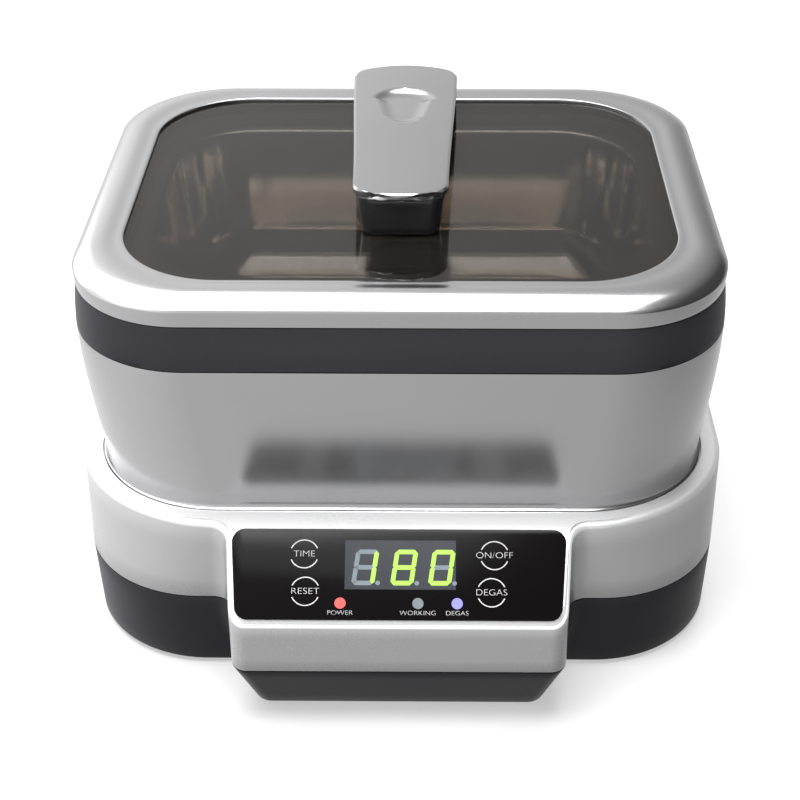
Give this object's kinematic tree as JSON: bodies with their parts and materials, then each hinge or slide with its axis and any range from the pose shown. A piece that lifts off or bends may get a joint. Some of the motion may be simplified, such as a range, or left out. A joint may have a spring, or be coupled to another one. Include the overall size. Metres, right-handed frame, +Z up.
{
  "type": "ultrasonic cleaner",
  "caption": "Bench ultrasonic cleaner: powered base with a sloping control block, lift-off tank unit with a steel basin, and a lid with smoked window and handle.",
  "frame": {"origin": "centre of the footprint on the surface the feet stand on", "axes": "+X to the user's right, along the width; +Y away from the user, the control block faces -Y; +Z up"},
  "size_m": [0.2482, 0.239, 0.1725],
  "materials": {
    "silver_paint": "satin metallic silver paint on moulded plastic",
    "charcoal_shell": "fine satin charcoal",
    "charcoal_collar": "satin charcoal",
    "panel_black": "polished black overlay with printed marks",
    "display_dark": "dark display filter",
    "led_lens": "diffused indicator lens",
    "foam": "conductive foam",
    "circuit_board": "green solder resist",
    "ribbon": "grey flat cable",
    "ferrite": "dull ferrite",
    "winding_tape": "yellow winding tape",
    "copper_wire": "enamelled copper",
    "heatsink_metal": "extruded",
    "component_black": "moulded component",
    "capacitor_sleeve": "shrink sleeve",
    "fuse_glass": "clear tube",
    "inlet_plastic": "moulded inlet",
    "contact_metal": "plated contact",
    "pin_metal": "plated pin",
    "screw_steel": "zinc plated",
    "wire_red": "insulated wire",
    "wire_brown": "insulated wire",
    "foot_rubber": "soft rubber",
    "tank_steel": "polished deep-drawn stainless steel",
    "silicone": "silicone seal",
    "piezo_ceramic": "silvered ceramic",
    "cover_charcoal": "satin charcoal",
    "smoked_glass": "smoked tempered window",
    "retainer_black": "moulded ring",
    "handle_black": "polished black"
  },
  "bodies": {
    "base": {"base_upper_shell": "silver_paint", "base_lower_shell": "charcoal_shell", "rubber_feet": "foot_rubber", "base_screws": "screw_steel", "panel_overlay": "panel_black", "display_module": "display_dark", "indicator_leds": "led_lens", "touch_pads": "foam", "control_board": "circuit_board", "ribbon_cable": "ribbon", "driver_board": "circuit_board", "board_screws": "screw_steel", "transformer_core": "ferrite", "transformer_winding": "winding_tape", "heatsink": "heatsink_metal", "power_transistors": "component_black", "filter_capacitors": "capacitor_sleeve", "output_coil": "copper_wire", "fuse": "fuse_glass", "power_inlet": "inlet_plastic", "inlet_pins": "pin_metal", "inlet_screws": "screw_steel", "power_wires": "wire_brown", "base_socket": "component_black", "socket_wires": "wire_red"},
    "tank_unit": {"tank_housing": "silver_paint", "tank_collar": "charcoal_collar", "steel_tank": "tank_steel", "tank_gasket": "silicone", "piezo_discs": "piezo_ceramic", "transducer_leads": "wire_red", "tank_plug": "component_black", "plug_pins": "contact_metal", "tank_bottom_cover": "cover_charcoal", "cover_screws": "screw_steel"},
    "lid": {"lid_frame": "silver_paint", "lid_window": "smoked_glass", "window_retainer": "retainer_black", "retainer_screws": "screw_steel", "handle_base": "handle_black", "handle_cover": "silver_paint", "handle_screws": "screw_steel"}
  },
  "joints": [
    {"name": "tank_lift", "type": "slide", "parent": "base", "child": "tank_unit", "axis": [0, 0, 1], "range_m": [0, 0.08]},
    {"name": "lid_lift", "type": "slide", "parent": "tank_unit", "child": "lid", "axis": [0, 0, 1], "range_m": [0, 0.08]}
  ]
}
